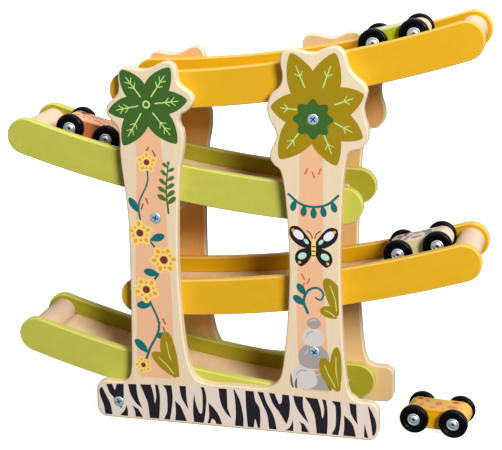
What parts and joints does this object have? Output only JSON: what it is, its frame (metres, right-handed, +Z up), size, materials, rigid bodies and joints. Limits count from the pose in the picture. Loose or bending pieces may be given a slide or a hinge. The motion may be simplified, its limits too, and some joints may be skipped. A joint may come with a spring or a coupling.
{
  "type": "click clack track toy",
  "caption": "Wooden race track toy: two tree-shaped side panels hold curved sloping tracks with rails, down which small four-wheeled cars run and drop from track to track.",
  "frame": {"origin": "on the floor under the middle of the toy's overall box", "axes": "+X to the right along the side panels as seen in the picture, +Y away from the viewer across the toy, +Z up"},
  "size_m": [0.3564, 0.083, 0.3107],
  "materials": {
    "birch_ply": "satin, with printed decoration",
    "honey_paint": "satin paint",
    "lime_paint": "satin paint",
    "bare_birch": "fine sanded",
    "zinc_screw": "zinc plated",
    "axle_steel": "bright",
    "cap_steel": "polished",
    "wheel_black": "gloss",
    "green_paint": "satin paint",
    "orange_paint": "satin paint",
    "cream_paint": "satin paint",
    "amber_paint": "satin paint"
  },
  "bodies": {
    "stand": {"front_panel": "birch_ply", "rear_panel": "birch_ply", "top_track_front_rail": "honey_paint", "top_track_rear_rail": "honey_paint", "top_track_floor": "bare_birch", "top_track_stop_dowel": "bare_birch", "top_track_pegs": "bare_birch", "upper_track_front_rail": "lime_paint", "upper_track_rear_rail": "lime_paint", "upper_track_floor": "bare_birch", "upper_track_stop_dowel": "bare_birch", "upper_track_pegs": "bare_birch", "lower_track_front_rail": "honey_paint", "lower_track_rear_rail": "honey_paint", "lower_track_floor": "bare_birch", "lower_track_stop_dowel": "bare_birch", "lower_track_pegs": "bare_birch", "bottom_track_front_rail": "lime_paint", "bottom_track_rear_rail": "lime_paint", "bottom_track_floor": "bare_birch", "bottom_track_stop_dowel": "bare_birch", "bottom_track_pegs": "bare_birch", "crown_spacer": "bare_birch", "trunk_spacer": "bare_birch", "knee_spacer": "bare_birch", "foot_spacer": "bare_birch", "front_screws": "zinc_screw", "rear_screws": "zinc_screw"},
    "green_car": {"green_car_body": "green_paint", "green_car_axles": "axle_steel", "green_car_axle_caps": "cap_steel"},
    "green_car_wheel_front_near": {"green_car_wheel_front_near": "wheel_black"},
    "green_car_wheel_front_far": {"green_car_wheel_front_far": "wheel_black"},
    "green_car_wheel_rear_near": {"green_car_wheel_rear_near": "wheel_black"},
    "green_car_wheel_rear_far": {"green_car_wheel_rear_far": "wheel_black"},
    "orange_car": {"orange_car_body": "orange_paint", "orange_car_axles": "axle_steel", "orange_car_axle_caps": "cap_steel"},
    "orange_car_wheel_front_near": {"orange_car_wheel_front_near": "wheel_black"},
    "orange_car_wheel_front_far": {"orange_car_wheel_front_far": "wheel_black"},
    "orange_car_wheel_rear_near": {"orange_car_wheel_rear_near": "wheel_black"},
    "orange_car_wheel_rear_far": {"orange_car_wheel_rear_far": "wheel_black"},
    "cream_car": {"cream_car_body": "cream_paint", "cream_car_axles": "axle_steel", "cream_car_axle_caps": "cap_steel"},
    "cream_car_wheel_front_near": {"cream_car_wheel_front_near": "wheel_black"},
    "cream_car_wheel_front_far": {"cream_car_wheel_front_far": "wheel_black"},
    "cream_car_wheel_rear_near": {"cream_car_wheel_rear_near": "wheel_black"},
    "cream_car_wheel_rear_far": {"cream_car_wheel_rear_far": "wheel_black"},
    "yellow_car": {"yellow_car_body": "amber_paint", "yellow_car_axles": "axle_steel", "yellow_car_axle_caps": "cap_steel"},
    "yellow_car_wheel_front_near": {"yellow_car_wheel_front_near": "wheel_black"},
    "yellow_car_wheel_front_far": {"yellow_car_wheel_front_far": "wheel_black"},
    "yellow_car_wheel_rear_near": {"yellow_car_wheel_rear_near": "wheel_black"},
    "yellow_car_wheel_rear_far": {"yellow_car_wheel_rear_far": "wheel_black"}
  },
  "joints": [
    {"name": "green_car_run", "type": "hinge", "parent": "stand", "child": "green_car", "pos_m": [-0.09661, 0, 1.08358], "axis": [0, 1, 0], "range_deg": [-1.24, 12]},
    {"name": "green_car_wheel_front_near_spin", "type": "hinge", "parent": "green_car", "child": "green_car_wheel_front_near", "pos_m": [0.09592, -0.014, 0.29108], "axis": [0, 1, 0], "continuous": true},
    {"name": "green_car_wheel_front_far_spin", "type": "hinge", "parent": "green_car", "child": "green_car_wheel_front_far", "pos_m": [0.09592, 0.014, 0.29108], "axis": [0, 1, 0], "continuous": true},
    {"name": "green_car_wheel_rear_near_spin", "type": "hinge", "parent": "green_car", "child": "green_car_wheel_rear_near", "pos_m": [0.12465, -0.014, 0.29862], "axis": [0, 1, 0], "continuous": true},
    {"name": "green_car_wheel_rear_far_spin", "type": "hinge", "parent": "green_car", "child": "green_car_wheel_rear_far", "pos_m": [0.12465, 0.014, 0.29862], "axis": [0, 1, 0], "continuous": true},
    {"name": "orange_car_run", "type": "hinge", "parent": "stand", "child": "orange_car", "pos_m": [0.09411, 0, 1.00458], "axis": [0, -1, 0], "range_deg": [-0.68, 12.56]},
    {"name": "orange_car_wheel_front_near_spin", "type": "hinge", "parent": "orange_car", "child": "orange_car_wheel_front_near", "pos_m": [-0.10616, -0.014, 0.214], "axis": [0, -1, 0], "continuous": true},
    {"name": "orange_car_wheel_front_far_spin", "type": "hinge", "parent": "orange_car", "child": "orange_car_wheel_front_far", "pos_m": [-0.10616, 0.014, 0.214], "axis": [0, -1, 0], "continuous": true},
    {"name": "orange_car_wheel_rear_near_spin", "type": "hinge", "parent": "orange_car", "child": "orange_car_wheel_rear_near", "pos_m": [-0.13482, -0.014, 0.22182], "axis": [0, -1, 0], "continuous": true},
    {"name": "orange_car_wheel_rear_far_spin", "type": "hinge", "parent": "orange_car", "child": "orange_car_wheel_rear_far", "pos_m": [-0.13482, 0.014, 0.22182], "axis": [0, -1, 0], "continuous": true},
    {"name": "cream_car_run", "type": "hinge", "parent": "stand", "child": "cream_car", "pos_m": [-0.09411, 0, 0.92558], "axis": [0, 1, 0], "range_deg": [0, 13.24]},
    {"name": "cream_car_wheel_front_near_spin", "type": "hinge", "parent": "cream_car", "child": "cream_car_wheel_front_near", "pos_m": [0.1156, -0.014, 0.13745], "axis": [0, 1, 0], "continuous": true},
    {"name": "cream_car_wheel_front_far_spin", "type": "hinge", "parent": "cream_car", "child": "cream_car_wheel_front_far", "pos_m": [0.1156, 0.014, 0.13745], "axis": [0, 1, 0], "continuous": true},
    {"name": "cream_car_wheel_rear_near_spin", "type": "hinge", "parent": "cream_car", "child": "cream_car_wheel_rear_near", "pos_m": [0.14416, -0.014, 0.14561], "axis": [0, 1, 0], "continuous": true},
    {"name": "cream_car_wheel_rear_far_spin", "type": "hinge", "parent": "cream_car", "child": "cream_car_wheel_rear_far", "pos_m": [0.14416, 0.014, 0.14561], "axis": [0, 1, 0], "continuous": true},
    {"name": "yellow_car_roll", "type": "slide", "parent": "stand", "child": "yellow_car", "axis": [0.9945, -0.1045, 0], "range_m": [-0.01, 0.12]},
    {"name": "yellow_car_wheel_front_near_spin", "type": "hinge", "parent": "yellow_car", "child": "yellow_car_wheel_front_near", "pos_m": [0.15971, -0.02148, 0.0109], "axis": [0.1045, 0.9945, 0], "continuous": true},
    {"name": "yellow_car_wheel_front_far_spin", "type": "hinge", "parent": "yellow_car", "child": "yellow_car_wheel_front_far", "pos_m": [0.16263, 0.00637, 0.0109], "axis": [0.1045, 0.9945, 0], "continuous": true},
    {"name": "yellow_car_wheel_rear_near_spin", "type": "hinge", "parent": "yellow_car", "child": "yellow_car_wheel_rear_near", "pos_m": [0.13017, -0.01837, 0.0109], "axis": [0.1045, 0.9945, 0], "continuous": true},
    {"name": "yellow_car_wheel_rear_far_spin", "type": "hinge", "parent": "yellow_car", "child": "yellow_car_wheel_rear_far", "pos_m": [0.13309, 0.00948, 0.0109], "axis": [0.1045, 0.9945, 0], "continuous": true}
  ],
  "couplings": [
    {"joint": "green_car_wheel_front_near_spin", "follows": "green_car_run", "ratio": -75.835},
    {"joint": "green_car_wheel_front_far_spin", "follows": "green_car_run", "ratio": -75.835},
    {"joint": "green_car_wheel_rear_near_spin", "follows": "green_car_run", "ratio": -75.835},
    {"joint": "green_car_wheel_rear_far_spin", "follows": "green_car_run", "ratio": -75.835},
    {"joint": "orange_car_wheel_front_near_spin", "follows": "orange_car_run", "ratio": -75.835},
    {"joint": "orange_car_wheel_front_far_spin", "follows": "orange_car_run", "ratio": -75.835},
    {"joint": "orange_car_wheel_rear_near_spin", "follows": "orange_car_run", "ratio": -75.835},
    {"joint": "orange_car_wheel_rear_far_spin", "follows": "orange_car_run", "ratio": -75.835},
    {"joint": "cream_car_wheel_front_near_spin", "follows": "cream_car_run", "ratio": -75.835},
    {"joint": "cream_car_wheel_front_far_spin", "follows": "cream_car_run", "ratio": -75.835},
    {"joint": "cream_car_wheel_rear_near_spin", "follows": "cream_car_run", "ratio": -75.835},
    {"joint": "cream_car_wheel_rear_far_spin", "follows": "cream_car_run", "ratio": -75.835},
    {"joint": "yellow_car_wheel_front_near_spin", "follows": "yellow_car_roll", "rad_per_m": 91.743},
    {"joint": "yellow_car_wheel_front_far_spin", "follows": "yellow_car_roll", "rad_per_m": 91.743},
    {"joint": "yellow_car_wheel_rear_near_spin", "follows": "yellow_car_roll", "rad_per_m": 91.743},
    {"joint": "yellow_car_wheel_rear_far_spin", "follows": "yellow_car_roll", "rad_per_m": 91.743}
  ]
}
